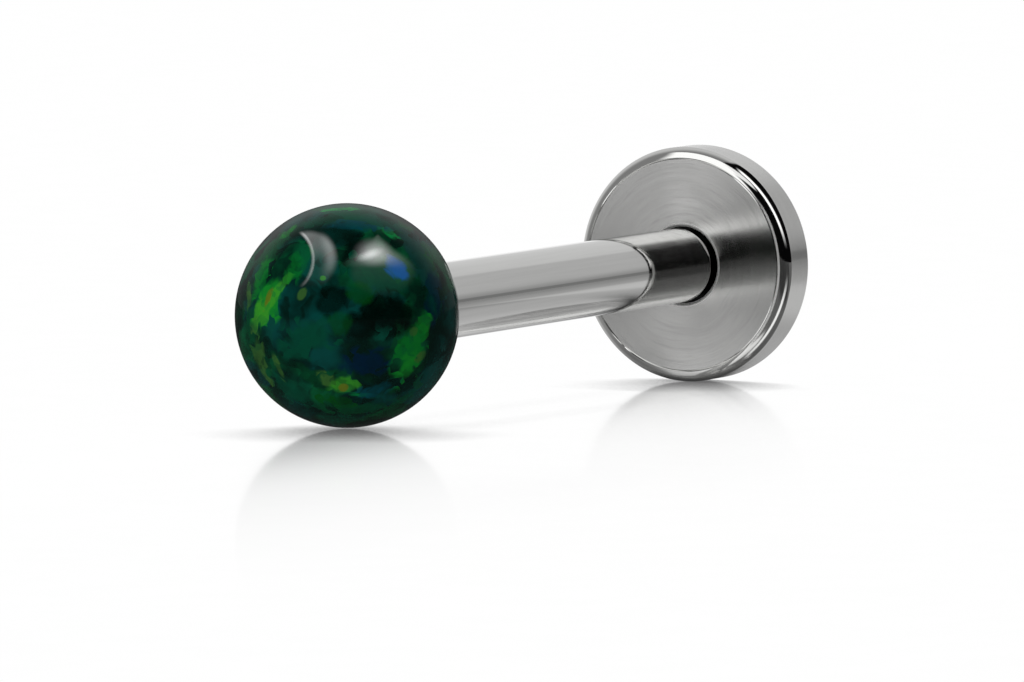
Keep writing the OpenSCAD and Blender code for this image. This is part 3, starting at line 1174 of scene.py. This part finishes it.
def floor_mirrored(bench, place, sharp):
    """The floor as the steel mirrors it: a grey gloss that shows the room again, with painted shadows and
    painted pools of light fixed near the stud
    """
    # Millimetres along the floor to the disc's end, and away from the camera
    along, deep, _ = bench.split(place)
    covered = bench.get("ShaderNodeAmbientOcclusion", "AO", {"Distance": STEEL_SHADOW_REACH}, samples=4)
    # Painted shadows, fixed in place: behind the post and under the disc
    painted_shadow_behind_post = bench.times(bell(bench, bench.minus(deep, 1.7), 1.3), 0.35)
    painted_shadow_under_disc = bench.times(
        bench.window((along, 5.2, 6.5), (along, 10.0, 8.5)), bell(bench, deep, 1.7), 0.45)
    shade = bench.times(
        bench.fade(covered, 0.1, 0.9, 0.2, 1.0), bench.minus(1.0, painted_shadow_behind_post),
        bench.minus(1.0, painted_shadow_under_disc))
    in_front = bench.window((deep, -3.2, -5.0), (along, 8.0, 6.5))
    # Painted pools of light, fixed in place: below the post and beside the disc
    painted_light_below_post = bench.times(bell(bench, bench.plus(deep, 0.2), 1.0), 0.26)
    painted_light_by_disc = bench.times(bench.window((along, 7.0, 9.0), (deep, -6.5, -4.5), (deep, -1.6, -2.8)), 0.17)
    level = bench.blend(in_front, FLOOR_GLOW, FRONT_GLOW)
    to_steel = bench.times(shade, bench.plus(level, painted_light_below_post, painted_light_by_disc))
    # The stone, which is the sharp mirror, sees hardly anything of the floor
    shine = bench.times(shade, bench.blend(sharp, FLOOR_GLOSS, 0.0))
    wet = bench.get("ShaderNodeBsdfGlossy", "BSDF", {
        "Color": bench.xyz(shine, shine, shine), "Roughness": FLOOR_GLOSS_ROUGHNESS,
    })
    glow = bench.white_glow(bench.blend(sharp, to_steel, STONE_GLOW))
    return bench.get("ShaderNodeAddShader", "Shader", {0: glow, 1: wet})


def pale_floor_paint():
    """A white light table: it mirrors what stands on it near the stud, less and less further off"""
    material = bpy.data.materials.new("pale_floor")
    bench = bare_bench(material)
    place = bench.scaled(bench.get("ShaderNodeTexCoord", "Object"), 1.0 / MM)
    path = bench.node("ShaderNodeLightPath").outputs
    clear = bench.get("ShaderNodeBsdfTransparent", "BSDF", {"Color": WHITE})
    from_above = bench.mix_shaders(
        path["Is Camera Ray"], floor_mirrored(bench, place, path["Is Singular Ray"]),
        floor_seen(bench, place))
    from_below = bench.get("ShaderNodeNewGeometry", "Backfacing")
    bench.end("ShaderNodeOutputMaterial", bench.mix_shaders(from_below, from_above, clear))
    material.cycles.emission_sampling = "NONE"
    return material


def floor_mirror_paint():
    """The mirror below the floor's clear top"""
    material = bpy.data.materials.new("floor_mirror")
    bench = bare_bench(material)
    bench.end("ShaderNodeOutputMaterial", bench.get("ShaderNodeBsdfGlossy", "BSDF", {
        "Color": WHITE, "Roughness": MIRROR_ROUGHNESS,
    }))
    return material


class LABRET_OT_stage(bpy.types.Operator):
    """Set the pale floor, the studio light and the camera"""

    bl_idname = "labret.stage"
    bl_label = "Stage and Camera"

    def execute(self, context):
        scene = context.scene
        for name, drop, paint in (
            ("floor", FLOOR_DROP, pale_floor_paint()),
            ("floor_mirror", MIRROR_DROP, floor_mirror_paint()),
        ):
            turns = [FULL_TURN * step / FLOOR_RIM_POINTS for step in range(FLOOR_RIM_POINTS)]
            points = [
                (FLOOR_RADIUS * math.cos(turn), FLOOR_RADIUS * math.sin(turn), -drop) for turn in turns
            ]
            mesh = bpy.data.meshes.new(name)
            mesh.from_pydata(points, [], [list(range(FLOOR_RIM_POINTS))])
            mesh.materials.append(paint)
            floor = bpy.data.objects.new(name, mesh)
            scene.collection.objects.link(floor)
            # The mirror takes no part in the shadows that the top looks for
            floor.visible_shadow = name == "floor"

        studio_light()

        lens = bpy.data.cameras.new("camera")
        lens.lens = CAMERA_LENS
        lens.sensor_width = CAMERA_SENSOR
        lens.sensor_fit = "HORIZONTAL"
        lens.clip_start = 0.01
        lens.clip_end = 5.0
        camera = bpy.data.objects.new("camera", lens)
        camera.location = CAMERA_TARGET - LOOK * CAMERA_DISTANCE
        camera.rotation_euler = LOOK.to_track_quat("-Z", "Y").to_euler()
        scene.collection.objects.link(camera)
        scene.camera = camera
        scene.view_settings.view_transform = "Standard"
        scene.view_settings.look = "None"
        return {"FINISHED"}


class LABRET_PT_panel(bpy.types.Panel):
    """Lists the pieces of the stud and their sizes"""

    bl_idname = "LABRET_PT_panel"
    bl_label = "Labret Stud"
    bl_space_type = "VIEW_3D"
    bl_region_type = "UI"
    bl_category = "Labret Stud"

    def draw(self, context):
        layout = self.layout
        for operator in OPERATORS:
            layout.operator(operator.bl_idname)
        for group in (context.scene.labret_sizes, context.scene.steel_finish, context.scene.opal_look):
            box = layout.box()
            for name in group.bl_rna.properties.keys():
                if name not in ("rna_type", "name"):
                    box.prop(group, name)


OPERATORS = (LABRET_OT_disc, LABRET_OT_post, LABRET_OT_pin, LABRET_OT_ball, LABRET_OT_stage)
GROUPS = (LabretSizes, SteelFinish, OpalLook)


def register():
    for each in GROUPS + OPERATORS + (LABRET_PT_panel,):
        bpy.utils.register_class(each)
    bpy.types.Scene.labret_sizes = bpy.props.PointerProperty(type=LabretSizes)
    bpy.types.Scene.steel_finish = bpy.props.PointerProperty(type=SteelFinish)
    bpy.types.Scene.opal_look = bpy.props.PointerProperty(type=OpalLook)


def unregister():
    del bpy.types.Scene.labret_sizes
    del bpy.types.Scene.steel_finish
    del bpy.types.Scene.opal_look
    for each in reversed(GROUPS + OPERATORS + (LABRET_PT_panel,)):
        bpy.utils.unregister_class(each)


def main():
    register()
    bpy.ops.labret.disc()
    bpy.ops.labret.post()
    bpy.ops.labret.pin()
    bpy.ops.labret.ball()
    bpy.ops.labret.stage()


if __name__ == "__main__":
    main()
